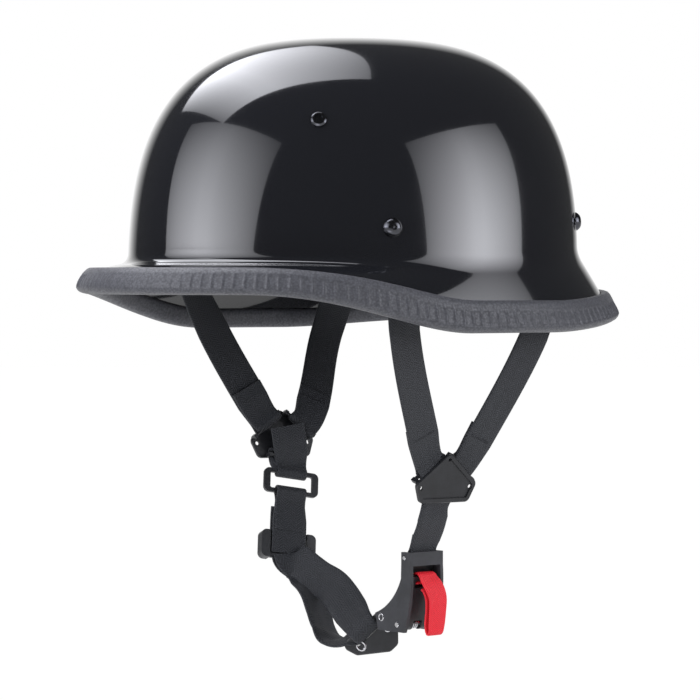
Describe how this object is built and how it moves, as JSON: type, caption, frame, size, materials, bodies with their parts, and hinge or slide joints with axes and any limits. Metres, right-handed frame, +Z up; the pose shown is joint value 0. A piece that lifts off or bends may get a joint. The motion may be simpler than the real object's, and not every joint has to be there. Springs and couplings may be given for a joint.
{
  "type": "half shell motorcycle helmet",
  "caption": "Open half shell riding helmet with a flared, padded brim, foam liner, comfort pads, adjustable webbing chin strap and a toothed quick release buckle.",
  "frame": {"origin": "the crown seat, where the top of the wearer's head meets the crown pad", "axes": "-Y toward the front, +X toward the wearer's left, +Z up"},
  "size_m": [0.2442, 0.3102, 0.3328],
  "materials": {
    "shell_gloss": "gloss black",
    "trim_leatherette": "soft grain",
    "liner_foam": "expanded foam",
    "pad_fabric": "brushed knit",
    "webbing": "woven nylon",
    "black_nylon": "moulded",
    "dark_chrome": "dark plating",
    "plated_steel": "bright plating",
    "red_ribbon": "woven ribbon"
  },
  "bodies": {
    "helmet": {"outer_shell": "shell_gloss", "edge_trim": "trim_leatherette", "foam_liner": "liner_foam", "crown_pad": "pad_fabric", "front_pad": "pad_fabric", "rear_pad": "pad_fabric", "left_side_pad": "pad_fabric", "right_side_pad": "pad_fabric", "strap_rivets": "dark_chrome", "strap_washers": "plated_steel", "upper_rivets": "dark_chrome", "upper_washers": "plated_steel", "left_front_strap": "webbing", "left_rear_strap": "webbing", "right_front_strap": "webbing", "right_rear_strap": "webbing", "left_divider": "black_nylon", "right_divider": "black_nylon", "left_lower_strap": "webbing", "link_strap": "webbing", "strap_link": "black_nylon", "right_chin_strap": "webbing", "strap_tail": "webbing", "chin_loop": "webbing", "buckle_body": "black_nylon", "buckle_strap_bar": "plated_steel", "lever_pin": "plated_steel", "lever_spring": "plated_steel"},
    "slide": {"length_slide": "black_nylon"},
    "lever": {"release_lever": "black_nylon"},
    "ribbon": {"pull_ribbon": "red_ribbon"},
    "tongue": {"buckle_tongue": "black_nylon", "tongue_rivet": "plated_steel"}
  },
  "joints": [
    {"name": "lever_hinge", "type": "hinge", "parent": "helmet", "child": "lever", "pos_m": [0.04532, -0.00949, -0.27765], "axis": [0, 1, 0], "range_deg": [0, 25], "stiffness_Nm_per_rad": 0.02},
    {"name": "ribbon_hinge", "type": "hinge", "parent": "lever", "child": "ribbon", "pos_m": [0.05362, -0.00949, -0.25293], "axis": [0, -1, 0], "range_deg": [0, 60]},
    {"name": "tongue_slide", "type": "hinge", "parent": "helmet", "child": "tongue", "pos_m": [0.0174, -0.00949, -0.24059], "axis": [0, 1, 0], "range_deg": [0, 46], "deforming": ["chin_loop"]},
    {"name": "length_slide_travel", "type": "slide", "parent": "helmet", "child": "slide", "axis": [-0.2633, 0.2495, 0.9319], "range_m": [0, 0.01]}
  ]
}
